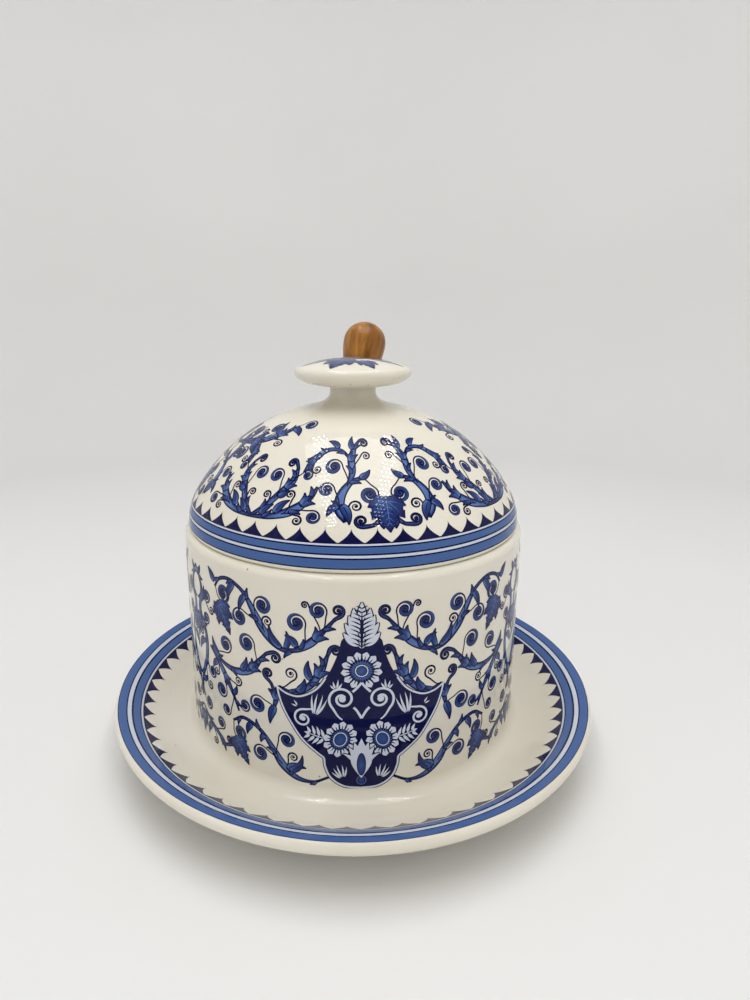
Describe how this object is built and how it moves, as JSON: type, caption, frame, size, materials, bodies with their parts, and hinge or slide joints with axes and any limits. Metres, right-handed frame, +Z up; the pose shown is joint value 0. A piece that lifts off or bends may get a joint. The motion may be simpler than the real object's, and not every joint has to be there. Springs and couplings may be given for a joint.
{
  "type": "butter dish",
  "caption": "Round stoneware butter dish: a straight pot on an attached underplate, a domed lid with a knob, and a wooden-handled spreader standing in a lid notch.",
  "frame": {"origin": "centre of the foot ring, on the surface that the dish stands on", "axes": "+Z up along the axis of the pot and lid; +Y towards the lid's notch and the spreader's handle, so the front of the dish faces -Y; +X to the right seen from the front"},
  "size_m": [0.1526, 0.1526, 0.1312],
  "materials": {
    "glaze": "clear gloss glaze over cream stoneware with a blue transfer pattern",
    "steel": "satin brushed",
    "handle_wood": "turned hardwood, satin varnish"
  },
  "bodies": {
    "base": {"underplate": "glaze", "pot_wall": "glaze"},
    "lid": {"lid_dome": "glaze", "lid_knob": "glaze"},
    "spreader": {"spreader_blade": "steel", "spreader_ferrule": "steel", "spreader_handle": "handle_wood"}
  },
  "joints": [
    {"name": "lid_lift", "type": "slide", "parent": "base", "child": "lid", "axis": [0, 0, 1], "range_m": [0, 0.09]},
    {"name": "spreader_lift", "type": "slide", "parent": "base", "child": "spreader", "axis": [0.1648, 0.3663, 0.9158], "range_m": [0, 0.15]}
  ]
}
